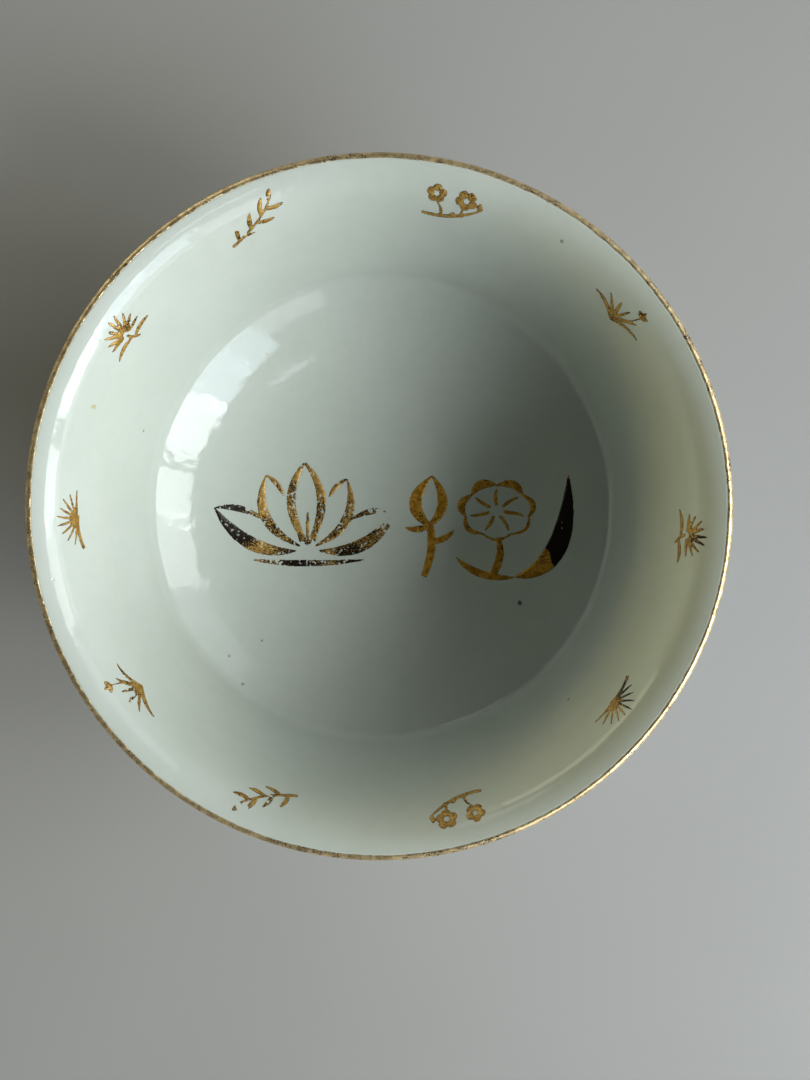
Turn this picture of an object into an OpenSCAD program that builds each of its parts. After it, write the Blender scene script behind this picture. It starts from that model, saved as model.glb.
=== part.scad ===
// Gaiwan bowl: an open porcelain tea bowl with a flared lip, a sharply creased
// wall, a low foot ring, clear glaze coats and gilding laid over the glaze.
// Origin: centre of the foot ring's resting edge. +Z is up, millimetres.

/* [Bowl] */
// Diameter over the gilded rim
rim_d = 100; // [90:0.5:110]
// Height from the resting edge to the top of the rim
bowl_h = 51; // [49:0.5:55]
// Diameter of the inside where the wall meets the floor dish
crease_d = 81; // [76:0.5:84]
// Height of that crease above the resting edge
crease_z = 24; // [22:0.5:26]
// Height of the middle of the floor above the resting edge
floor_z = 12.5; // [11.5:0.1:14]
// Slope of the floor dish where it reaches the crease, in degrees
dish_slope = 39.5; // [34:0.5:45]
// Lean of the wall from upright just above the crease, in degrees
wall_lean = 8; // [5:0.5:12]
// Slope of the flared lip on the inside, in degrees from level
lip_slope = 24; // [20:1:32]
// Radius of the rounded lip
lip_r = 0.85; // [0.7:0.05:1.1]
// Thickness of the wall at the crease, measured level
crease_wall = 2.6; // [2.2:0.1:3.2]

/* [Foot] */
// Diameter over the glazed foot wall
foot_d = 41.2; // [38:0.2:44]
// Height of the upright foot wall up to where the bowl's curve starts
foot_h = 8; // [7.4:0.1:8.4]
// Thickness of the foot ring's paste
foot_wall = 2.6; // [2.2:0.1:3.4]
// Height of the well's roof inside the foot
well_z = 7.9; // [7.4:0.1:8.4]
// Height of the bare edge that the glaze leaves on the foot
bare_h = 1.6; // [1:0.1:2.4]

/* [Coats] */
// Thickness of the glaze
glaze_t = 0.25; // [0.15:0.05:0.35]
// Thickness of the gilding over the glaze
gilt_t = 0.12; // [0.08:0.02:0.16]
// How far the rim gilding reaches down the inside of the lip
rim_gilt_inside = 0.5; // [0.3:0.1:1]

/* [Sprigs] */
// Width of each sprig in the border under the lip
border_w = 8.8; // [7:0.2:10]
// Depth below the rim of the middle of the border
border_depth = 3.9; // [3.4:0.1:4.6]
// Distance of the middle of the border in from the rim, measured level
border_inset = 4.7; // [4.4:0.1:5]
// Width of the left spray on the floor
centre_w = 32.8; // [28:0.4:34]
// Distance of the left spray's middle from the bowl's axis
centre_left = 14.4; // [13:0.2:17]
// Distance of the right spray's middle from the bowl's axis
centre_right = 18.8; // [17:0.2:20]

/* [Hidden] */
$fn = 96;
BORDER = ["01", "02", "03", "04", "05", "06", "07", "08", "09", "10"];

paste_colour = "ivory";
glaze_colour = "honeydew";
gilt_colour = "goldenrod";

rim_r = rim_d / 2;
crease_r = crease_d / 2;
foot_r = foot_d / 2;
foot_paste_r = foot_r - glaze_t;
well_r = foot_paste_r - foot_wall;
lip_centre = [rim_r - gilt_t - lip_r, bowl_h - gilt_t - lip_r];
outer_lip_slope = 45;
crease_round = 1.2;
carination = [crease_r + crease_wall, crease_z - 2.5];
carination_round = 2;
foot_fillet = 1.6;
// The foot ring's own solid ends here, below the rounding of the well's roof
ring_top = 6.4;

// Where the ten border sprigs stand, as degrees round the bowl, and which kind each is
border_at = [40, 77, 114, 145, 181, 215, 248, 284, 321, 356];
border_kind = ["orchid", "plum", "bamboo", "aster", "pine", "orchid", "bamboo", "plum", "pine", "aster"];
border_slope = 52;
border_band = [bowl_h - 9, bowl_h - 0.6];
border_half = 2.6;
// The widths at which the sprigs and the left floor spray are drawn
sprig_w = 8.8;
lotus_w = 32.8;
floor_reach = 36.5;

// Points, curves and paths in the plane of radius and height
function heading(a) = [cos(a), sin(a)];
function mix(a, b, t) = a * (1 - t) + b * t;
function bend(p, t) = mix(mix(p[0], p[1], t), mix(p[1], p[2], t), t);
function sweep(p, t) = mix(bend([p[0], p[1], p[2]], t), bend([p[1], p[2], p[3]], t), t);
function bend_path(p, n) = [for (i = [0 : n]) bend(p, i / n)];
function sweep_path(p, n, from = 0, to = 1) = [for (i = [0 : n]) sweep(p, from + (to - from) * i / n)];
function arc_path(c, r, a, b, n) = [for (i = [0 : n]) c + r * heading(a + (b - a) * i / n)];
function unit(v) = v / norm(v);
function direction(path, i) =
    unit(path[min(i + 1, len(path) - 1)] - path[max(i - 1, 0)]);
function left_of(v) = [-v[1], v[0]];
function shifted(path, d) = [
    for (i = [0 : len(path) - 1])
        let (p = path[i] + d * left_of(direction(path, i)))
        [path[i][0] == 0 ? 0 : p[0], p[1]]
];
function backwards(path) = [for (i = [len(path) - 1 : -1 : 0]) path[i]];
function ring_of(path, inner, outer) = concat(shifted(path, outer), backwards(shifted(path, inner)));

// The inside: floor dish, rounded crease and wall up to the lip
crease = [crease_r, crease_z];
dish_run = (crease_z - floor_z) / tan(dish_slope);
dish_curve = [[0, floor_z], [crease_r - dish_run, floor_z], crease];
// How far the curves run straight out of the crease, the lip and the carination
wall_up = 22;
lip_lead_in = 4.5;
lip_lead_out = 5;
outer_wall_up = 20;
underside_run = 15;
// The outer wall leans this much less than the inner one just above the carination
outer_wall_upright = 1.5;
// The underside is this much flatter than the dish where it leaves the carination
underside_flatter = 4;
lip_in = lip_centre + lip_r * heading(90 + lip_slope);
wall_curve = [
    crease,
    crease + wall_up * heading(90 - wall_lean),
    lip_in - lip_lead_in * heading(lip_slope),
    lip_in
];
dish_end = crease - crease_round * heading(dish_slope);
wall_start = crease + crease_round * heading(90 - wall_lean);
dish_path = [for (p = bend_path(dish_curve, 18)) if (norm(p - crease) > crease_round * 1.3) p];
crease_path = bend_path([dish_end, crease, wall_start], 5);
wall_path = [for (p = sweep_path(wall_curve, 20)) if (norm(p - crease) > crease_round * 1.3) p];
inside_path = concat(dish_path, crease_path, wall_path);

// The lip: a round cap from the inside wall over to the outside wall
lip_top_angle = 75;
lip_inner_path = arc_path(lip_centre, lip_r, 90 + lip_slope, lip_top_angle, 4);
lip_outer_path = arc_path(lip_centre, lip_r, lip_top_angle, outer_lip_slope - 90, 8);

// The outside: wall down to the carination, underside and foot
lip_out = lip_centre + lip_r * heading(outer_lip_slope - 90);
outer_wall_curve = [
    lip_out,
    lip_out - lip_lead_out * heading(outer_lip_slope),
    carination + outer_wall_up * heading(90 - wall_lean + outer_wall_upright),
    carination
];
underside_start = [foot_r + foot_fillet, foot_h + foot_fillet];
underside_curve = [carination, carination - underside_run * heading(dish_slope - underside_flatter), underside_start];
foot_corner = [foot_r, foot_h];
fillet_curve = [underside_start, [foot_r + 0.2, foot_h + foot_fillet - 0.4], foot_corner];
outer_wall_path = [
    for (p = sweep_path(outer_wall_curve, 18)) if (norm(p - carination) > carination_round) p
];
underside_path = [
    for (p = bend_path(underside_curve, 12)) if (norm(p - carination) > carination_round) p
];
carination_path = bend_path(
    [outer_wall_path[len(outer_wall_path) - 1], carination, underside_path[0]],
    6
);
function between_ends(path) = [for (i = [1 : len(path) - 2]) path[i]];
function after_first(path) = [for (i = [1 : len(path) - 1]) path[i]];
outside_path = concat(
    after_first(outer_wall_path),
    between_ends(carination_path),
    underside_path,
    after_first(bend_path(fillet_curve, 5))
);

inner_skin = concat(inside_path, after_first(lip_inner_path));
outer_skin = concat(lip_outer_path, outside_path, [[foot_r, bare_h]]);
well_skin = concat(
    [[well_r, bare_h], [well_r, well_z - 1]],
    after_first(bend_path([[well_r, well_z - 1], [well_r, well_z], [well_r - 1, well_z]], 4)),
    [[0, well_z]]
);

// The paste under the glaze, with the foot ring as its own ring below
module porcelain_body() {
    paste_inside = shifted(inner_skin, -glaze_t);
    paste_outside = shifted(concat(lip_outer_path, outside_path), -glaze_t);
    color(paste_colour) rotate_extrude() polygon(concat(
        paste_inside,
        after_first(paste_outside),
        [[foot_paste_r, ring_top], [well_r, ring_top]],
        after_first(well_skin)
    ));
}

// The ring that the bowl stands on, bare at its resting edge
module foot_ring() {
    edge = 0.6;
    color(paste_colour) rotate_extrude() polygon(concat(
        bend_path([[foot_paste_r - edge, 0], [foot_paste_r, 0], [foot_paste_r, edge]], 4),
        [[foot_paste_r, ring_top], [well_r, ring_top]],
        bend_path([[well_r, edge], [well_r, 0], [well_r + edge, 0]], 4)
    ));
}

module inner_glaze() {
    color(glaze_colour) rotate_extrude() polygon(ring_of(inner_skin, -glaze_t, 0));
}

module outer_glaze() {
    color(glaze_colour) rotate_extrude() polygon(ring_of(outer_skin, -glaze_t, 0));
}

module foot_well_glaze() {
    color(glaze_colour) rotate_extrude() polygon(ring_of(well_skin, 0, glaze_t));
}

// A thin band of gold over the lip, worn on the real bowl
module rim_gilding() {
    drop = 180 / PI * rim_gilt_inside / lip_r;
    band = arc_path(lip_centre, lip_r, 90 + lip_slope, outer_lip_slope - 90 - 4, 14);
    inside = [for (p = [2 : -1 : 1]) lip_in - p / 2 * rim_gilt_inside * heading(lip_slope)];
    color(gilt_colour) rotate_extrude() polygon(ring_of(concat(inside, band), 0, gilt_t));
}

// A brush stroke: a bent spine with a width at its start, middle and end
module stroke(spine, widths, n = 8) {
    rails = [
        for (i = [0 : n])
            let (
                t = i / n,
                along = unit(mix(spine[1] - spine[0], spine[2] - spine[1], t)),
                side = bend(widths, t) / 2 * left_of(along)
            )
            [bend(spine, t) + side, bend(spine, t) - side]
    ];
    polygon(concat([for (r = rails) r[0]], [for (i = [n : -1 : 0]) rails[i][1]]));
}

// A leaf or petal: a stroke that leaves its root at one angle and ends at another
module leaf(root, angle, length, width, droop = 0, n = 8) {
    middle = root + length * 0.55 * heading(angle + droop);
    stroke([root, middle, root + length * heading(angle)], [0.3, width * 2, 0.08], n);
}

// The outline of a petal: two strokes from its base to its tip, bulging to each side
module petal(base, tip, belly, width) {
    middle = mix(base, tip, 0.55);
    for (k = [-1, 1])
        stroke(
            [base, middle + k * belly * left_of(unit(tip - base)), tip],
            [0.35 * width, 1.9 * width, 0.25 * width],
            10
        );
}

// Long grass-like blades that fan out of one root, with one small flower on a stem
module orchid() {
    root = [-0.4, -2.7];
    for (i = [0 : 5]) {
        angle = 18 + 28 * i;
        leaf(root, angle, 4.7 + 0.7 * cos(2 * angle), 0.42 + 0.12 * (i % 2), (90 - angle) * 0.34);
    }
    flower = [2.3, 1.9];
    stroke([root, [1.6, -0.8], flower], [0.2, 0.25, 0.2]);
    for (i = [0 : 2]) leaf(flower, 30 + 60 * i, 1.15, 0.5, 0, 6);
}

// A bent cane with narrow leaves on alternate sides
module bamboo() {
    cane = [[-4, -2.3], [0.2, -0.9], [3.4, 2.3]];
    slope = atan2(4.6, 7.4);
    stroke(cane, [0.55, 0.42, 0.3]);
    for (i = [0 : 6]) {
        t = 0.16 + 0.14 * i;
        side = i % 2 == 0 ? 1 : -1;
        leaf(bend(cane, t), slope + side * (48 - 18 * t), i == 6 ? 1.8 : 2.75, 0.58, side * 16);
    }
}

// A five-petalled blossom
module blossom(centre, r, turn) {
    for (i = [0 : 4]) {
        a = turn + 72 * i;
        stroke(
            [centre + 0.22 * r * heading(a), centre + 0.72 * r * heading(a), centre + r * heading(a)],
            [0.12 * r, 1.45 * r, 0.35 * r],
            6
        );
    }
}

// A gnarled branch with two blossoms and two buds
module plum() {
    stroke([[-4.3, -2.4], [0.2, -3.3], [4.3, 0.6]], [0.5, 1, 0.12]);
    stroke([[-1.6, -2.5], [-1.2, -1.2], [-2.4, 0.1]], [0.5, 0.4, 0.25]);
    stroke([[1.6, -1.9], [1.2, -1], [1.5, -0.2]], [0.4, 0.35, 0.25]);
    blossom([-2.6, 1.35], 1.45, 20);
    blossom([1.7, 1.2], 1.6, 50);
    leaf([3.9, 0], 95, 1.5, 0.6, 14, 6);
    leaf([-0.2, -2.4], 60, 1.3, 0.5, 14, 6);
}

// A half-open flower of narrow petals over two leaves
module aster() {
    heart = [0, -0.7];
    for (i = [0 : 8]) {
        angle = 6 + 21 * i;
        leaf(heart + 0.5 * heading(angle), angle, 2.7 + 0.5 * sin(angle), 0.4, i % 2 == 0 ? -4 : 4, 6);
    }
    stroke([[0, -0.9], [0.1, -2], [1.3, -3]], [0.5, 0.4, 0.3]);
    leaf([0.2, -1.9], 188, 4.1, 0.56, -20);
    leaf([0.5, -2.3], 6, 3.8, 0.56, 18);
}

// A fan of needles on a bent twig
module pine() {
    stroke([[-4.3, -2.6], [-1.6, -1.3], [0.6, -1.9]], [0.6, 0.5, 0.3]);
    for (i = [0 : 8]) {
        angle = 21 * i;
        leaf([0.2, -1.6], angle, 4.2 - 0.3 * sin(angle), 0.26, 6, 6);
    }
}

// An open lotus flower over a line of water, drawn in outline
module lotus_flower() {
    petal([0, -5.8], [-0.4, 9.6], 5.6, 1.5);
    // Middle petals, their folded tips, outer petals and their upper edges
    stroke([[-1.4, -6], [-10.8, -1.8], [-7.4, 7.2]], [0.3, 3.4, 0.2], 12);
    stroke([[1.4, -6], [10.2, -2.2], [7.4, 6.6]], [0.3, 3.4, 0.2], 12);
    stroke([[-7.4, 7.2], [-5.4, 6.2], [-4.3, 3.4]], [0.2, 1.6, 0.3]);
    stroke([[7.4, 6.6], [5.2, 5.6], [4, 3.2]], [0.2, 1.6, 0.3]);
    stroke([[-2.2, -6.9], [-11.2, -7.8], [-16.4, 1.2]], [0.3, 4.6, 0.15], 12);
    stroke([[2.2, -6.9], [11.4, -8.2], [16.4, 0.2]], [0.3, 4.8, 0.15], 12);
    stroke([[-16.4, 1.2], [-12.4, 2], [-8.2, -0.8]], [0.15, 2.2, 0.3]);
    stroke([[16.4, 0.2], [12.6, 1.6], [8.2, -1]], [0.15, 2.2, 0.3]);
    // Stamens and the water's line
    for (k = [-1.3, 0, 1.3]) stroke([[k, -5.2], [1.5 * k, -2.2], [1.9 * k, 0.4]], [0.4, 0.9, 0.3], 6);
    stroke([[-9.8, -8.4], [-1, -9.9], [10.6, -8.7]], [0.2, 2.2, 0.2], 10);
}

// A lotus bud, an open lotus leaf seen from above and a tall reed blade
module lotus_leaf() {
    // Bud: stem, two sides and two sepals
    stroke([[-11.4, -9.4], [-9, -4.2], [-10.3, 0.8]], [1.1, 1.9, 1.2]);
    stroke([[-10.3, 0.4], [-15.8, 4], [-9.8, 9.6]], [0.8, 4.2, 0.2], 12);
    stroke([[-10.1, 0.4], [-5.6, 4.2], [-9.8, 9.6]], [0.8, 3.2, 0.2], 12);
    stroke([[-10.3, 0.2], [-12.4, -1], [-14.9, -0.2]], [0.6, 2, 0.2]);
    stroke([[-9.9, -2.6], [-7.6, -3], [-5.6, -0.6]], [0.6, 2, 0.2]);
    // Leaf: lobes round its edge, veins out of its navel and a stem
    lobes = 7;
    step = 360 / lobes;
    function on_leaf(angle, r) = [2.2, 3] + [r * cos(angle), 0.82 * r * sin(angle)];
    for (i = [0 : lobes - 1]) {
        angle = step * (i - 0.25);
        stroke(
            [on_leaf(angle, 5.8), on_leaf(angle + step / 2, 8), on_leaf(angle + step, 5.8)],
            [0.3, 1.9 + 1.3 * sin(angle), 0.3]
        );
        stroke([on_leaf(angle, 1.3), on_leaf(angle + 8, 3.2), on_leaf(angle, 5)], [0.5, 0.8, 0.25], 6);
    }
    stroke([[2.5, -2], [3.6, -5.6], [1.2, -9.4]], [0.7, 1.9, 1.1]);
    // Reed and the short blade at its foot
    stroke([[5.6, -9.2], [15.2, -7.6], [14.5, 9.6]], [0.4, 6.4, 0.1], 14);
    stroke([[5.2, -9.3], [-1.6, -10], [-5.4, -5.6]], [0.3, 2.7, 0.1], 10);
}

module sprig(kind) {
    if (kind == "orchid") orchid();
    if (kind == "bamboo") bamboo();
    if (kind == "plum") plum();
    if (kind == "aster") aster();
    if (kind == "pine") pine();
}

// One gilt sprig of the border, laid on the wall under the lip
module border_sprig(i) {
    band = [for (p = inner_skin) if (p[1] > border_band[0] && p[1] < border_band[1]) p];
    middle = [rim_r - border_inset, bowl_h - border_depth];
    color(gilt_colour) intersection() {
        rotate_extrude() polygon(ring_of(band, 0, gilt_t));
        rotate([0, 0, border_at[i]]) translate([middle[0], 0, middle[1]])
            rotate([0, -border_slope, 0]) rotate([0, 0, -90])
                translate([0, 0, -border_half]) linear_extrude(2 * border_half)
                    scale(border_w / sprig_w) sprig(border_kind[i]);
    }
}

// One large gilt spray on the floor of the bowl
module centre_sprig(middle) {
    floor_path = [for (p = dish_path) if (p[0] < floor_reach) p];
    color(gilt_colour) intersection() {
        rotate_extrude() polygon(ring_of(floor_path, 0, gilt_t));
        translate([middle[0], middle[1], floor_z - 1]) linear_extrude(crease_z - floor_z + 2)
            scale(centre_w / lotus_w) children();
    }
}

module centre_sprig_left() {
    centre_sprig([-centre_left, -0.6]) lotus_flower();
}

module centre_sprig_right() {
    centre_sprig([centre_right, -3]) lotus_leaf();
}

porcelain_body();
foot_ring();
inner_glaze();
outer_glaze();
foot_well_glaze();
rim_gilding();
for (i = [0 : len(BORDER) - 1])
    border_sprig(i);
centre_sprig_left();
centre_sprig_right();
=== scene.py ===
"""Looks of the porcelain gaiwan bowl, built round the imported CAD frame.

The glaze coats and the foot ring are turned again as fine smooth lathes from the
outlines of their CAD nodes. The sprigs are cut again from the CAD sprigs as thin
pillowed sheets with worn edges, laid on the smooth glaze, and the gold line is a
ragged band over the lip. All lengths are metres, and MM is a millimetre.
"""
import math

import bpy
import numpy as np
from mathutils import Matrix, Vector
from mathutils.bvhtree import BVHTree


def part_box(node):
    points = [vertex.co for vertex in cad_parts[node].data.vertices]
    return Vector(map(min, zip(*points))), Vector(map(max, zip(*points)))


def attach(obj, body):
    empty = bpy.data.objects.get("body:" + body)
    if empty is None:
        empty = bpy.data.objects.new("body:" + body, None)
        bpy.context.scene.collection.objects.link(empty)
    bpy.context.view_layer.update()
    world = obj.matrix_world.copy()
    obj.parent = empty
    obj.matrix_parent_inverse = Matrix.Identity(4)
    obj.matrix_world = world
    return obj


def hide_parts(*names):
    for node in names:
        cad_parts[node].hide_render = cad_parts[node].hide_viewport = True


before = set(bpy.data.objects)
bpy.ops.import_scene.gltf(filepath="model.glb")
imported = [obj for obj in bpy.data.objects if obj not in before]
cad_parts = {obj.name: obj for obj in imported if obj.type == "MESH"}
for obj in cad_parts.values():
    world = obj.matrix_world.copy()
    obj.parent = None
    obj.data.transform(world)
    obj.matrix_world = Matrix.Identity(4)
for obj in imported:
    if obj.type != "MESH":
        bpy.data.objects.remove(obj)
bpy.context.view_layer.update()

MM = 0.001
SCENE = bpy.context.scene
BORDER_SPRIGS = sorted(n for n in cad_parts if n.startswith("border_sprig"))
RIM_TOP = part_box("rim_gilding")[1].z
RIM_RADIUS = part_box("rim_gilding")[1].x
AROUND = 320  # facets round a lathe
OUTLINE_STEPS = 4  # points on each leg of a smoothed outline
SHEET_SUNK = 0.02 * MM  # how far a gold sheet's underside lies below the glaze


# ---------------------------------------------------------------- small maths

def smooth_noise(seed, shape, cell, octaves):
    """Value noise on a 2-D grid, about -1 to 1, with features of `cell` grid steps."""
    rng = np.random.default_rng(seed)
    total, weight = np.zeros(shape), 0.0
    for octave in range(octaves):
        step = max(cell / 2 ** octave, 1.0)
        knots = rng.uniform(-1, 1, [int(n / step) + 3 for n in shape])
        down, across = (np.arange(n) / step for n in shape)
        row, col = down.astype(int), across.astype(int)
        down, across = ease(down - row, 0, 1)[:, None], ease(across - col, 0, 1)[None, :]
        above = knots[np.ix_(row, col)] * (1 - across) + knots[np.ix_(row, col + 1)] * across
        below = knots[np.ix_(row + 1, col)] * (1 - across) + knots[np.ix_(row + 1, col + 1)] * across
        total += (above * (1 - down) + below * down) / 2 ** octave
        weight += 1 / 2 ** octave
    return total / weight


def blurred(grid, sigma):
    """Gaussian blur of a 2-D grid, sigma in grid steps."""
    reach = int(3 * sigma) + 1
    kernel = np.exp(-0.5 * (np.arange(-reach, reach + 1) / sigma) ** 2)
    kernel /= kernel.sum()
    for axis in (0, 1):
        grid = np.apply_along_axis(np.convolve, axis, grid, kernel, mode="same")
    return grid


def ease(x, low, high):
    """0 to 1, smoothly, as x goes from low to high. low may be the larger of the two."""
    t = np.clip((x - low) / (high - low), 0, 1)
    return t * t * (3 - 2 * t)


# ------------------------------------------------------- outlines and lathes

def outline_of(node):
    """A turned node's outline as points (radius, height), walked along its seam at y = 0."""
    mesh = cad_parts[node].data
    hair = 1e-7
    spot = {
        v.index: (round(v.co.x, 6), round(v.co.z, 6))
        for v in mesh.vertices
        if abs(v.co.y) < hair and v.co.x > -hair
    }
    links = {}
    for edge in mesh.edges:
        a, b = (spot.get(i) for i in edge.vertices)
        if a and b and a != b:
            links.setdefault(a, set()).add(b)
            links.setdefault(b, set()).add(a)
    ends = [p for p in links if p[0] == 0]
    start = max(ends or links, key=lambda p: (p[1], p[0]))
    walk, last = [start], None
    while True:
        here = walk[-1]
        onward = [p for p in links[here] if p != last and p not in walk]
        if not onward:
            return np.array(walk)
        last = here
        walk.append(min(onward, key=lambda p: math.dist(p, here)))


def smoothed(points, closed, steps, corner=35):
    """A smooth curve through the points, with `steps` points on each leg.

    Corners sharper than `corner` degrees, and the two ends of an open outline, stay sharp.
    """
    n = len(points)
    legs = [(i, (i + 1) % n) for i in range(n if closed else n - 1)]

    def turn(i):
        """How sharply the outline turns at a point, in degrees."""
        if not closed and i in (0, n - 1):
            return 180
        a, b = points[i] - points[i - 1], points[(i + 1) % n] - points[i]
        cosine = np.dot(a, b) / (np.linalg.norm(a) * np.linalg.norm(b))
        return math.degrees(math.acos(max(-1, min(1, cosine))))

    def slope(i):
        """The curve's direction at a point, or None at a corner."""
        if turn(i) > corner:
            return None
        chord = points[(i + 1) % n] - points[i - 1]
        return chord / np.linalg.norm(chord)

    slopes = [slope(i) for i in range(n)]
    out = []
    for i, j in legs:
        a, b = points[i], points[j]
        leg = b - a
        length = np.linalg.norm(leg)
        leaving = (slopes[i] if slopes[i] is not None else leg / length) * length
        arriving = (slopes[j] if slopes[j] is not None else leg / length) * length
        for k in range(steps):
            t = k / steps
            out.append(
                (2 * t**3 - 3 * t**2 + 1) * a + (t**3 - 2 * t**2 + t) * leaving
                + (3 * t**2 - 2 * t**3) * b + (t**3 - t**2) * arriving
            )
    if not closed:
        out.append(points[-1])
    return np.array(out)


def potter(points):
    """The slight unevenness of a turned and fired bowl, none at the rim and the foot.

    out and up are in millimetres: slow waves, and faint quicker ones from the turning.
    """
    x, y, z = points.T
    r, a = np.hypot(x, y), np.arctan2(y, x)
    free = ease(z, 9 * MM, 13 * MM) * ease(z, RIM_TOP - 1 * MM, RIM_TOP - 7 * MM)
    out = 0.07 * np.sin(2 * a + 0.6) + 0.05 * np.sin(3 * a + 2.1 + 60 * z)
    out += 0.03 * np.sin(7 * a + 240 * z) + 0.02 * np.sin(11 * a - 500 * z)
    up = 0.05 * np.sin(2 * a + 140 * r) + 0.03 * np.sin(5 * a + 1.2 + 330 * r)
    up *= ease(r, 2 * MM, 9 * MM)
    moved = points.copy()
    moved[:, 0] += free * out * MM * np.cos(a)
    moved[:, 1] += free * out * MM * np.sin(a)
    moved[:, 2] += free * up * MM
    return moved


def make_piece(name, points, faces, material, replaces, marks=()):
    """A mesh piece that rides on the bowl and stands for its CAD node.

    marks are (name, one value per point), which the material reads by name.
    """
    mesh = bpy.data.meshes.new(name)
    mesh.from_pydata([tuple(p) for p in points], [], faces)
    mesh.polygons.foreach_set("use_smooth", [True] * len(mesh.polygons))
    mesh.materials.append(material)
    for mark, values in marks:
        mesh.attributes.new(mark, "FLOAT", "POINT").data.foreach_set("value", values)
    mesh.update()
    piece = bpy.data.objects.new(name, mesh)
    SCENE.collection.objects.link(piece)
    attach(piece, "root")
    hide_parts(replaces)
    return piece


def lathe(name, outline, closed, material, replaces):
    """Turns an outline about the axis. An open outline starts and ends on the axis."""
    ring = outline if closed else outline[1:-1]
    angles = np.arange(AROUND) * 2 * math.pi / AROUND
    points = [(r * math.cos(a), r * math.sin(a), z) for a in angles for r, z in ring]
    n, faces = len(ring), []
    for i in range(AROUND):
        j = (i + 1) % AROUND
        for k in range(n if closed else n - 1):
            m = (k + 1) % n
            faces.append((i * n + k, j * n + k, j * n + m, i * n + m))
    if not closed:
        poles = len(points), len(points) + 1
        points += [(0, 0, outline[0][1]), (0, 0, outline[-1][1])]
        for i in range(AROUND):
            j = (i + 1) % AROUND
            faces.append((poles[0], j * n, i * n))
            faces.append((poles[1], i * n + n - 1, j * n + n - 1))
    return make_piece(name, potter(np.array(points)), faces, material, replaces)


# ------------------------------------------------------------------ materials

class Look:
    """A material being built: short calls for its nodes and links.

    constants are set on the shader's own sockets, whose names have _ for a space.
    """

    def __init__(self, name, **constants):
        self.material = bpy.data.materials.new(name)
        self.material.use_nodes = True
        self.tree = self.material.node_tree
        self.shader = self.tree.nodes["Principled BSDF"]
        for socket, value in constants.items():
            self.shader.inputs[socket.replace("_", " ")].default_value = value
        self.place = self.tree.nodes.new("ShaderNodeTexCoord").outputs["Object"]

    def node(self, kind, **settings):
        made = self.tree.nodes.new("ShaderNode" + kind)
        for key, value in settings.items():
            setattr(made, key, value)
        return made

    def wire(self, source, target):
        self.tree.links.new(source, target)

    def noise(self, scale, detail=3.0, roughness=0.55, distortion=0.0):
        """Cloudy values about 0 to 1, with about `scale` features in a metre."""
        made = self.node("TexNoise")
        made.inputs["Scale"].default_value = scale
        made.inputs["Detail"].default_value = detail
        made.inputs["Roughness"].default_value = roughness
        made.inputs["Distortion"].default_value = distortion
        self.wire(self.place, made.inputs["Vector"])
        return made.outputs["Fac"]

    def cells(self, scale):
        """Distance to the nearest of a scatter of points, for specks and pinholes."""
        made = self.node("TexVoronoi", feature="F1")
        made.inputs["Scale"].default_value = scale
        self.wire(self.place, made.inputs["Vector"])
        return made.outputs["Distance"]

    def mark(self, name):
        """A value that the mesh carries at each point."""
        return self.node("Attribute", attribute_name=name).outputs["Fac"]

    def steps(self, value, low, high, flip=False):
        """0 to 1 as the value goes from low to high, or 1 to 0."""
        made = self.node("MapRange", interpolation_type="SMOOTHSTEP")
        made.inputs["From Min"].default_value = low
        made.inputs["From Max"].default_value = high
        made.inputs["To Min"].default_value = 1.0 if flip else 0.0
        made.inputs["To Max"].default_value = 0.0 if flip else 1.0
        self.wire(value, made.inputs["Value"])
        return made.outputs["Result"]

    def maths(self, operation, a, b):
        made = self.node("Math", operation=operation)
        for socket, value in zip(made.inputs, (a, b)):
            if isinstance(value, (int, float)):
                socket.default_value = value
            else:
                self.wire(value, socket)
        return made.outputs["Value"]

    def near(self, point, reach):
        """1 at a point of the bowl, fading to 0 about reach from it, with a ragged edge."""
        gap = self.node("VectorMath", operation="DISTANCE")
        gap.inputs[1].default_value = point
        self.wire(self.place, gap.inputs[0])
        ragged = self.maths("MULTIPLY", self.noise(1.4 / reach, 4.0), reach)
        gap = self.maths("ADD", gap.outputs["Value"], ragged)
        return self.steps(gap, 0.75 * reach, 1.3 * reach, flip=True)

    def blend(self, fac, a, b):
        """Colour a where fac is 0, colour b where it is 1. A mix's colours are inputs 6 and 7."""
        made = self.node("Mix", data_type="RGBA")
        self.wire(fac, made.inputs["Factor"])
        for socket, colour in zip((made.inputs[6], made.inputs[7]), (a, b)):
            if isinstance(colour, tuple):
                socket.default_value = (*colour, 1.0)
            else:
                self.wire(colour, socket)
        return made.outputs[2]

    def colour(self, source):
        self.wire(source, self.shader.inputs["Base Color"])

    def rough(self, source, low, high):
        """Roughness from low to high as source goes from 0 to 1."""
        made = self.node("MapRange")
        made.inputs["To Min"].default_value = low
        made.inputs["To Max"].default_value = high
        self.wire(source, made.inputs["Value"])
        self.wire(made.outputs["Result"], self.shader.inputs["Roughness"])

    def bump(self, height, distance):
        """Adds bumps up to distance high, on top of those that are already there."""
        made = self.node("Bump")
        made.inputs["Distance"].default_value = distance
        self.wire(height, made.inputs["Height"])
        if self.shader.inputs["Normal"].is_linked:
            self.wire(self.shader.inputs["Normal"].links[0].from_socket, made.inputs["Normal"])
        self.wire(made.outputs["Normal"], self.shader.inputs["Normal"])


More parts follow.
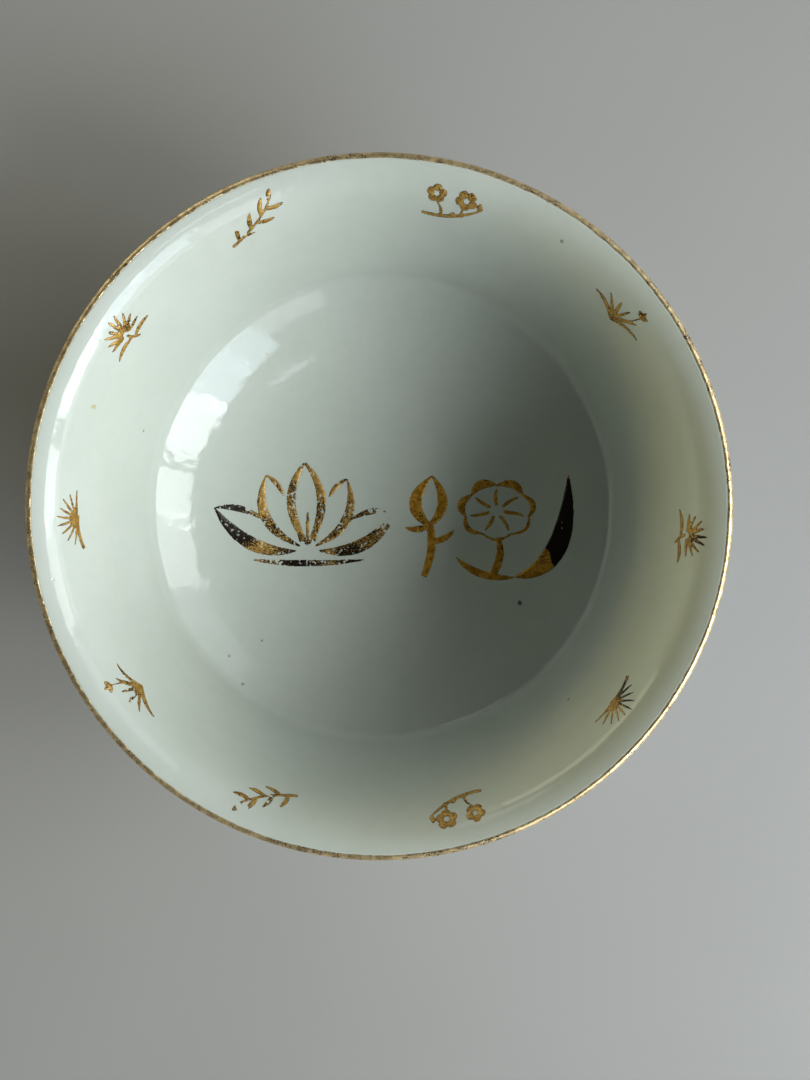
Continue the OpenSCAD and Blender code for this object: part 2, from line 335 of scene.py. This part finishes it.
def glaze_look(name, thin, thick, pooled, blemishes=()):
    """Pale porcelain glaze: soft clouding, iron specks, pinholes and orange peel.

    thin, thick and pooled are its colours where the coat is thinner, thicker and thickest.
    blemishes are single spots: (place, reach, colour, strength).
    """
    iron_brown = (0.15, 0.12, 0.08)
    look = Look(name, Roughness=0.08, IOR=1.5, Specular_IOR_Level=0.38)
    cloud = look.steps(look.noise(28.0, 4.0), 0.36, 0.66)
    colour = look.blend(cloud, thick, thin)
    fine = look.steps(look.noise(420.0, 2.0), 0.40, 0.64)
    colour = look.blend(look.maths("MULTIPLY", fine, 0.12), colour, pooled)
    specks = look.steps(look.cells(150.0), 0.035, 0.055, flip=True)
    sparse = look.steps(look.noise(60.0, 1.0), 0.60, 0.64)
    specks = look.maths("MULTIPLY", specks, sparse)
    colour = look.blend(look.maths("MULTIPLY", specks, 0.65), colour, iron_brown)
    for point, reach, tint, strength in blemishes:
        spot = look.maths("MULTIPLY", look.near(point, reach), strength)
        colour = look.blend(spot, colour, tint)
    look.colour(colour)
    pinholes = look.steps(look.cells(210.0), 0.03, 0.06)
    sound = look.steps(look.noise(45.0, 1.0), 0.55, 0.6, flip=True)
    look.bump(look.noise(110.0, 2.0), 0.1 * MM)
    look.bump(look.noise(330.0, 2.0), 0.05 * MM)
    look.bump(look.noise(900.0, 2.0), 0.003 * MM)
    look.bump(look.maths("MAXIMUM", pinholes, sound), 0.03 * MM)
    return look.material


def paste_look(name):
    """Bare fired porcelain: fine grit, faint warm flashing and a few dark grains."""
    pale, flashed, grain_brown = (0.66, 0.62, 0.54), (0.56, 0.46, 0.34), (0.16, 0.11, 0.07)
    look = Look(name, IOR=1.45)
    cloud = look.steps(look.noise(90.0, 4.0), 0.35, 0.70)
    colour = look.blend(cloud, pale, flashed)
    grains = look.steps(look.cells(900.0), 0.10, 0.20, flip=True)
    patchy = look.steps(look.noise(700.0, 1.0), 0.56, 0.62)
    grains = look.maths("MULTIPLY", grains, patchy)
    colour = look.blend(look.maths("MULTIPLY", grains, 0.7), colour, grain_brown)
    look.colour(colour)
    look.rough(look.noise(300.0), 0.5, 0.75)
    look.bump(look.noise(1800.0, 3.0), 0.04 * MM)
    look.bump(look.noise(260.0, 2.0), 0.06 * MM)
    return look.material


def gold_look(name, bright, deep, dark, mottle, metallic, dent):
    """Fired gold: orange where rubbed matt, dark along its edges, and in its dark colour where still
    a mirror, which on the sprigs is a painted black reflection.

    The mesh's mark "dark" peppers it with these mirror grains, from none at 0 to solid at 1,
    and its mark "inner" is 0 at the edge of a stroke and 1 inside it. mottle is how many
    patches of bright and deep gold there are in a metre, and dent is the bumps' height.
    """
    edge_brown = (0.085, 0.030, 0.010)
    look = Look(name, Metallic=metallic, IOR=1.5)
    streaks = look.steps(look.noise(mottle, 4.0, 0.65, 0.5), 0.36, 0.64)
    colour = look.blend(streaks, deep, bright)
    ragged = look.maths("ADD", look.mark("inner"), look.noise(mottle * 3.0, 2.0))
    colour = look.blend(look.steps(ragged, 0.62, 1.15, flip=True), colour, edge_brown)
    # Where the gold is still a mirror it takes the dark colour and turns glossy: on the sprigs a
    # painted dark reflection
    grain = look.noise(mottle * 4.2, 3.0, 0.75)
    mirror = look.maths("ADD", grain, look.maths("MULTIPLY", look.mark("dark"), 0.6))
    mirror = look.steps(mirror, 0.64, 0.71)
    look.colour(look.blend(mirror, colour, dark))
    look.rough(look.maths("MAXIMUM", mirror, look.noise(mottle * 1.6, 3.0)), 0.62, 0.08)
    look.bump(look.noise(mottle * 2.2, 4.0, 0.7), dent)
    return look.material


def floor_look():
    """A plain pale table top, faintly clouded."""
    look = Look("pale_floor", Roughness=0.6, IOR=1.4)
    cloud = look.steps(look.noise(6.0, 3.0), 0.3, 0.7)
    look.colour(look.blend(cloud, (0.335, 0.318, 0.300), (0.365, 0.345, 0.325)))
    return look.material


# ------------------------------------------------------------------- surfaces

class Skin:
    """The smooth inside of the bowl, from its middle to the edge of the lip.

    path is its points (radius, height), and places on it are distances along that path.
    """

    def __init__(self, path):
        self.path = path
        legs = np.linalg.norm(np.diff(path, axis=0), axis=1)
        self.along = np.concatenate([[0], np.cumsum(legs)])
        slope = np.gradient(path, self.along, axis=0)
        slope /= np.linalg.norm(slope, axis=1)[:, None]
        self.normal = np.stack([-slope[:, 1], slope[:, 0]], axis=1)

    def at(self, s):
        """Radius and height at distance s along the path, and the direction off the glaze there."""
        return [np.interp(s, self.along, column) for column in (*self.path.T, *self.normal.T)]

    def s_of_radius(self, r):
        """Distance along the path to radius r."""
        rising = np.maximum.accumulate(self.path[:, 0])
        return np.interp(r, rising, self.along)


def turned_grid(skin, s, angle, lift):
    """Points at distance s along the skin and at an angle round it, lifted off it."""
    r, z, nr, nz = skin.at(s)
    r, z = r + lift * nr, z + lift * nz
    return potter(np.stack([r * np.cos(angle), r * np.sin(angle), z], axis=-1).reshape(-1, 3))


def sheet_from(field, height, place, wrap=False):
    """A closed thin sheet over the cells where field > 0, by marching squares.

    Gives its grid spots, its points (tops, then undersides) and its faces.
    place(rows, columns, lift) gives points, and height(rows, columns) is the sheet's
    thickness. wrap joins the last column to the first. Where an edge crosses the grid is
    kept a little way off the grid's corners, so that no face is a sliver.
    """
    rows, cols = field.shape
    inside = field > 0
    key, spots, faces = {}, [], []

    def corner(i, j):
        tag = (i, j % cols if wrap else j)
        if tag not in key:
            key[tag] = len(spots)
            spots.append((float(i), float(tag[1])))
        return key[tag]

    def crossing(a, b):
        tag = tuple(sorted((i, j % cols if wrap else j) for i, j in (a, b)))
        if tag not in key:
            at_a, at_b = field[a[0], a[1] % cols], field[b[0], b[1] % cols]
            t = min(max(at_a / (at_a - at_b), 0.04), 0.96)
            key[tag] = len(spots)
            spots.append((a[0] + t * (b[0] - a[0]), a[1] + t * (b[1] - a[1])))
        return key[tag]

    # A cell is kept where any of its four corners is inside
    right = np.roll(inside, -1, axis=1) if wrap else np.pad(inside[:, 1:], ((0, 0), (0, 1)))
    kept = inside[:-1] | inside[1:] | right[:-1] | right[1:]
    if not wrap:
        kept[:, -1] = False
    for i, j in zip(*np.nonzero(kept)):
        loop = [(i, j), (i, j + 1), (i + 1, j + 1), (i + 1, j)]
        face = []
        for a, b in zip(loop, loop[1:] + loop[:1]):
            a_inside, b_inside = inside[a[0], a[1] % cols], inside[b[0], b[1] % cols]
            if a_inside:
                face.append(corner(*a))
            if a_inside != b_inside:
                face.append(crossing(a, b))
        faces.append(tuple(face))
    spots = np.array(spots)
    count = len(spots)
    top = place(spots[:, 0], spots[:, 1], height(spots[:, 0], spots[:, 1]))
    base = place(spots[:, 0], spots[:, 1], np.full(count, -SHEET_SUNK))
    edges = dict.fromkeys((a, b) for face in faces for a, b in zip(face, face[1:] + face[:1]))
    sides = [(b, a, a + count, b + count) for a, b in edges if (b, a) not in edges]
    under = [tuple(i + count for i in reversed(face)) for face in faces]
    return spots.T, np.concatenate([top, base]), faces + under + sides


def sampled(grid, wrap=False):
    """Bilinear reading of a grid at fractional rows and columns."""
    rows, cols = grid.shape

    def read(down, across):
        down = np.clip(down, 0, rows - 1.001)
        across = across % cols if wrap else np.clip(across, 0, cols - 1.001)
        row, col = down.astype(int), across.astype(int)
        down, across, after = down - row, across - col, (col + 1) % cols
        left = grid[row, col] * (1 - down) + grid[row + 1, col] * down
        right = grid[row, after] * (1 - down) + grid[row + 1, after] * down
        return left * (1 - across) + right * across

    return read


def gold_marks(spots, mirror, middle, wrap=False):
    """The marks that gold_look reads, for a sheet's tops and then its undersides."""
    return [
        (name, np.tile(sampled(grid, wrap)(*spots), 2))
        for name, grid in (("dark", mirror), ("inner", middle))
    ]


def footprint(node, points, normals):
    """1 where the CAD node lies over the surface point, else 0.

    A ray looks for the node from well above each point, and stops just short of it.
    """
    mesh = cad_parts[node].data
    tree = BVHTree.FromPolygons([v.co for v in mesh.vertices], [p.vertices for p in mesh.polygons])
    reach = 0.6 * MM
    ray = 0.97 * reach
    hits = [
        tree.ray_cast(Vector(p + reach * n), Vector(-n), ray)[0] is not None
        for p, n in zip(points, normals)
    ]
    return np.array(hits, float)


def gild(node, rows, cols, place, cell, wear, seed, gold, wear_and_painted_reflection, dark=(), faded=()):
    """Cuts a sprig again from its CAD node, as a thin sheet with soft, worn edges.

    place(rows, columns, lift) lays a grid of rows and cols on the glaze, cell apart.
    wear sets how much is rubbed off all over, and the argument after gold how much is mirror grains,
    a painted dark reflection.
    dark and faded are patches (x, y, reach, softness) in millimetres: mirror gold, painted dark as a
    reflection, with a fifth value from grains at 0.4 to solid at 1, and gold rubbed off.
    """
    down, across = (
        grid.ravel().astype(float)
        for grid in np.meshgrid(np.arange(rows), np.arange(cols), indexing="ij")
    )
    ground = place(down, across, np.zeros(rows * cols))
    normals = place(down, across, np.full(rows * cols, 0.1 * MM)) - ground
    normals /= np.linalg.norm(normals, axis=1)[:, None]
    mask = footprint(node, ground, normals).reshape(rows, cols)
    # How far inside a stroke each spot is, near its edge and in its body
    soft = blurred(mask, 0.10 * MM / cell)
    body = blurred(mask, 0.28 * MM / cell)
    ragged = smooth_noise(seed, (rows, cols), 0.55 * MM / cell, 2)
    broad = smooth_noise(seed + 1, (rows, cols), 3.2 * MM / cell, 3)
    specks = smooth_noise(seed + 2, (rows, cols), 0.32 * MM / cell, 2)
    x, y = ground[:, 0].reshape(rows, cols), ground[:, 1].reshape(rows, cols)

    def patch(px, py, reach, softness):
        gap = np.hypot(x - px * MM, y - py * MM) + 0.25 * reach * MM * broad
        return ease(gap, (reach + softness) * MM, (reach - softness) * MM)

    # How much of each spot is mirror gold, which gold_look paints in its dark colour: a painted dark
    # reflection
    mirror = np.clip(0.30 * broad + wear_and_painted_reflection, 0, 1)
    for *spot, depth in dark:
        mirror = np.maximum(mirror, depth * patch(*spot))
    # The gold lies where field is over 0: inside the sprig's ragged edge, and not rubbed off
    field = soft - 0.5 + 0.16 * ragged
    worn = ease(broad + 0.55 * ragged, 0.62 - wear, 0.92 - wear)
    for spot in faded:
        worn = np.maximum(worn, ease(patch(*spot) + 0.9 * specks, 0.35, 0.55))
    field = np.minimum(field, 0.35 - worn)
    # In millimetres: thin at the edge, and about 0.1 in the middle of a broad stroke
    thick = (0.035 + 0.065 * ease(body, 0.45, 0.95)) * ease(field, 0, 0.22) + 0.006
    thick *= 1 + 0.18 * ragged
    spots, points, faces = sheet_from(field, sampled(thick * MM), place)
    marks = gold_marks(spots, mirror, ease(soft, 0.5, 0.92))
    return make_piece(node + "_gold", points, faces, gold, node, marks)


# -------------------------------------------------------------------- the bowl

inside_outline = outline_of("inner_glaze")
lip_end = int(np.argmax(inside_outline[:, 0]))
skin = Skin(smoothed(inside_outline[: lip_end + 1], False, 6))

# A rust spot on the wall and an iron speck on the floor of the bowl
blemishes = (
    ((-41.6 * MM, 15.4 * MM, 46.0 * MM), 0.8 * MM, (0.44, 0.30, 0.10), 0.75),
    ((25.0 * MM, -16.9 * MM, 17.8 * MM), 0.75 * MM, (0.02, 0.02, 0.025), 0.85),
)
# The inside coat is darker and yellower than the outside one: besides the glaze's own tint, this is
# painted warm shade inside the bowl
inside_glaze = glaze_look(
    "inside_glaze",
    thin=(0.533, 0.550, 0.483),
    thick=(0.498, 0.520, 0.453),
    pooled=(0.44, 0.47, 0.40),
    blemishes=blemishes,
)
outside_glaze = glaze_look(
    "outside_glaze",
    thin=(0.535, 0.585, 0.545),
    thick=(0.500, 0.555, 0.515),
    pooled=(0.43, 0.50, 0.46),
)
paste = paste_look("bare_paste")
# Painted reflection: this near-black base colour of the sprigs' mirror gold stands for the dark
# things the mirror reflects
painted_reflection_black = (0.026, 0.019, 0.012)
sprig_gold = gold_look(
    "sprig_gold",
    bright=(0.55, 0.325, 0.080),
    deep=(0.34, 0.18, 0.033),
    dark=painted_reflection_black,
    mottle=900.0,
    metallic=0.45,
    dent=0.06 * MM,
)
rich_gold = gold_look(
    "rich_gold",
    bright=(0.80, 0.41, 0.050),
    deep=(0.48, 0.21, 0.014),
    dark=painted_reflection_black,
    mottle=900.0,
    metallic=0.50,
    dent=0.06 * MM,
)
rim_gold = gold_look(
    "rim_gold",
    bright=(0.84, 0.64, 0.34),
    deep=(0.45, 0.32, 0.16),
    dark=(0.15, 0.105, 0.06),
    mottle=800.0,
    metallic=0.70,
    dent=0.02 * MM,
)

# The CAD's own body shows as bare paste. foot_ring has it too, under its finer lathe
for node in ("porcelain_body", "foot_ring"):
    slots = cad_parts[node].data.materials
    slots.clear()
    slots.append(paste)

for name, node, closed, material, slot in (
    ("glazed_inside", "inner_glaze", False, inside_glaze, "clear_glaze"),
    ("glazed_outside", "outer_glaze", True, outside_glaze, "clear_glaze"),
    ("glazed_foot_well", "foot_well_glaze", False, outside_glaze, "clear_glaze"),
    ("bare_foot", "foot_ring", True, paste, "bare_porcelain"),
):
    lathe(name, smoothed(outline_of(node), closed, OUTLINE_STEPS), closed, material, node)


def rim_band():
    """The gilded band over the lip, with ragged edges.

    Across, it is an arc from just inside the top of the lip to below its outer edge:
    its tilts are measured up from straight outwards.
    """
    cell = 0.11 * MM
    inset, radius = 0.97 * MM, 0.85 * MM
    centre = np.array([RIM_RADIUS - inset, RIM_TOP - inset])
    first, last = math.radians(102), math.radians(-50)
    rows = int(radius * (first - last) / cell) + 1
    cols = int(2 * math.pi * RIM_RADIUS / cell)

    def place(i, j, lift):
        tilt = first + (last - first) * i / (rows - 1)
        angle = 2 * math.pi * j / cols
        r = centre[0] + (radius + lift) * np.cos(tilt)
        z = centre[1] + (radius + lift) * np.sin(tilt)
        return np.stack([r * np.cos(angle), r * np.sin(angle), z], axis=-1)

    # The gold lies where field is over 0. Its edges wander with fine and slow noise
    across = np.linspace(0, 1, rows)[:, None] + np.zeros((1, cols))
    noise = smooth_noise(5, (rows, cols), 0.5 * MM / cell, 2)
    noise += 0.7 * smooth_noise(6, (1, cols), 4 * MM / cell, 3)
    field = np.minimum(across - 0.04, 0.96 - across) * 6 + 0.16 * noise
    thick = 0.02 + 0.08 * ease(field, 0, 0.5)
    spots, points, faces = sheet_from(field, sampled(thick * MM, True), place, wrap=True)
    wear_and_painted_reflection = 0.11 + 0.22 * smooth_noise(7, (rows, cols), 0.7 * MM / cell, 2)
    wear_and_painted_reflection = wear_and_painted_reflection + 0.16 * smooth_noise(8, (1, cols), 6 * MM / cell, 3)
    # The band is brown along its outer edge only, and its inner part is bright to the edge
    middle = np.maximum(ease(field, 0, 0.6), ease(across, 0.55, 0.35))
    marks = gold_marks(spots, np.clip(wear_and_painted_reflection, 0, 1), middle, wrap=True)
    return make_piece("rim_gold_band", points, faces, rim_gold, "rim_gilding", marks)


def border_sprigs():
    """The ten small sprigs, which lie on the wall just under the lip."""
    cell = 0.07 * MM
    inward, outward = skin.s_of_radius(42.6 * MM), skin.s_of_radius(47.9 * MM)
    middle_radius = 45 * MM
    # Patches of mirror gold, painted dark as a painted reflection: (x, y, reach, softness) in mm,
    # then the grain share
    painted_reflection_patches = (
        (37.5, -27.0, 2.4, 1.6, 0.55),
        (47.0, -4.0, 1.6, 1.2, 0.7),
        (36.5, 30.0, 1.6, 1.2, 0.6),
    )
    for number, node in enumerate(BORDER_SPRIGS):
        low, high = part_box(node)
        middle = (low + high) / 2
        azimuth = math.atan2(middle.y, middle.x)
        reach = Vector((high.x - low.x, high.y - low.y)).length / 2 + 0.8 * MM
        rows, cols = int((outward - inward) / cell), int(2 * reach / cell)

        def place(i, j, lift):
            s = inward + (outward - inward) * i / (rows - 1)
            angle = azimuth + (j / (cols - 1) - 0.5) * 2 * reach / middle_radius
            return turned_grid(skin, s, angle, lift)

        # Some sprigs are more worn than others
        wear = (0.0, 0.05, 0.12, 0.02)[number % 4]
        gild(node, rows, cols, place, cell, wear, 20 + 3 * number, sprig_gold, 0.14, painted_reflection_patches)


def floor_sprays():
    """The two large sprigs on the floor of the bowl. The right one ends in solid mirror gold,
    painted black as a painted dark reflection.
    """
    cell = 0.11 * MM
    margin = 0.6 * MM
    # Patches of mirror gold, painted dark as a painted reflection: peppered on the left sprig, solid
    # at the right sprig's end
    left_painted_reflection = (
        (-29, -3, 5.0, 3.0, 0.75),
        (-27, 2, 3.0, 2.0, 0.75),
        (-16, -10.5, 5.5, 4.0, 0.55),
        (-6, -9, 4.0, 3.0, 0.5),
        (-3.5, -2.5, 3.5, 3.0, 0.45),
    )
    right_painted_reflection = ((37.5, -3.0, 9.6, 0.12, 1.0),)
    left_faded = ((1.5, -0.5, 3.2, 2.6), (-1, 1.5, 2.0, 2.0))
    for node, wear, seed, gold, wear_and_painted_reflection, dark, faded in (
        ("centre_sprig_left", 0.04, 60, sprig_gold, 0.22, left_painted_reflection, left_faded),
        ("centre_sprig_right", -0.3, 70, rich_gold, 0.08, right_painted_reflection, ()),
    ):
        low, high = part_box(node)
        rows = int((high.y - low.y + 2 * margin) / cell)
        cols = int((high.x - low.x + 2 * margin) / cell)

        def place(i, j, lift):
            x, y = low.x - margin + j * cell, high.y + margin - i * cell
            r = np.hypot(x, y)
            return turned_grid(skin, skin.s_of_radius(r), np.arctan2(y, x), lift)

        gild(node, rows, cols, place, cell, wear, seed, gold, wear_and_painted_reflection, dark, faded)


rim_band()
border_sprigs()
floor_sprays()


# ---------------------------------------------------- floor, lights and camera

def stage_floor():
    """A pale round table top under the bowl."""
    bpy.ops.mesh.primitive_circle_add(vertices=128, radius=0.8, fill_type="NGON", location=(0, 0, 0))
    disc = bpy.context.object
    disc.name = "floor"
    disc.data.materials.append(floor_look())


def softbox(name, azimuth, elevation, glow, colour, shows=True):
    """A flat light 1 m from the bowl that fills a range of azimuth (0 is +X) and elevation.

    glow is how bright it looks, so its power grows with its area.
    shows says whether glossy surfaces reflect it.
    """
    turn, tilt = (math.radians(sum(span) / 2) for span in (azimuth, elevation))
    lamp = bpy.data.lights.new(name, "AREA")
    lamp.shape = "RECTANGLE"
    lamp.size = 2 * math.tan(math.radians(azimuth[1] - azimuth[0]) / 2) * math.cos(tilt)
    lamp.size_y = 2 * math.tan(math.radians(elevation[1] - elevation[0]) / 2)
    lamp.energy = math.pi * lamp.size * lamp.size_y * glow
    lamp.color = colour
    way = Vector((math.cos(tilt) * math.cos(turn), math.cos(tilt) * math.sin(turn), math.sin(tilt)))
    made = bpy.data.objects.new(name, lamp)
    made.location = way
    made.rotation_euler = way.to_track_quat("Z", "Y").to_euler()
    made.visible_glossy = shows
    SCENE.collection.objects.link(made)


def room_light():
    """A world that is dim overhead and pale towards the horizon, like a plain room."""
    overhead, horizon = 0.01, 0.30
    world = bpy.data.worlds.new("soft_room")
    world.use_nodes = True
    tree = world.node_tree
    way = tree.nodes.new("ShaderNodeTexCoord").outputs["Generated"]
    split = tree.nodes.new("ShaderNodeSeparateXYZ")
    fade = tree.nodes.new("ShaderNodeMapRange")
    fade.interpolation_type = "SMOOTHSTEP"
    fade.inputs["From Min"].default_value = 0.06
    fade.inputs["From Max"].default_value = 0.42
    fade.inputs["To Min"].default_value = horizon
    fade.inputs["To Max"].default_value = overhead
    tree.links.new(way, split.inputs[0])
    tree.links.new(split.outputs["Z"], fade.inputs["Value"])
    sky = tree.nodes["Background"]
    sky.inputs["Color"].default_value = (1.0, 0.97, 0.92, 1.0)
    tree.links.new(fade.outputs["Result"], sky.inputs["Strength"])
    SCENE.world = world


def studio():
    """Soft daylight from a wide window on the right, and a warm lit wall on the left."""
    daylight, skylight = (0.93, 1.0, 1.01), (0.86, 1.0, 1.16)
    room, corner = (1.0, 0.95, 0.52), (1.0, 0.97, 0.72)
    # Panes side by side over a sill, with a dark mullion between the middle and the far one
    softbox("window_near_pane", (-74, -58), (14, 40), 2.4, daylight)
    softbox("window_side_edge", (-57, -46), (20, 48), 5.8, skylight)
    softbox("window_side_pane", (-46, -34), (20, 48), 7.2, skylight)
    softbox("window_middle_pane", (-34, -18), (20, 48), 12.4, daylight)
    softbox("window_far_pane", (-13, 0), (20, 48), 9.6, daylight)
    softbox("window_far_edge", (0, 20), (20, 48), 6.0, daylight)
    softbox("window_last_pane", (21, 50), (20, 46), 1.4, skylight)
    softbox("window_sill", (-57, 20), (9, 19), 2.7, daylight)
    # Two small bright things, which show as short reflections inside the bowl
    softbox("small_window", (105, 123), (23, 36), 1.4, daylight)
    softbox("high_window", (-69, -51), (56, 58.5), 4.5, daylight)
    # The warm wall across the room, which lights the shadows on the bowl's right
    softbox("room_corner", (112, 150), (3, 16), 2.6, corner)
    softbox("room_wall", (150, 188), (3, 16), 6.3, room, shows=False)
    room_light()
    SCENE.view_settings.view_transform = "Standard"
    SCENE.view_settings.look = "None"


def camera():
    """Close above the bowl's middle and nearly straight down, with a wide phone lens."""
    above_rim = 109.5 * MM
    lens = bpy.data.cameras.new("camera")
    lens.sensor_fit = "VERTICAL"
    lens.sensor_height = 36
    lens.lens = 26
    lens.clip_start = 5 * MM
    made = bpy.data.objects.new("camera", lens)
    made.location = (1.2 * MM, 2.2 * MM, RIM_TOP + above_rim)
    # It looks 3 degrees towards -Y, and about 1 degree towards +X, of straight down
    made.rotation_euler = (math.radians(-3.0), math.radians(-1.05), 0)
    SCENE.collection.objects.link(made)
    SCENE.camera = made


stage_floor()
studio()
camera()
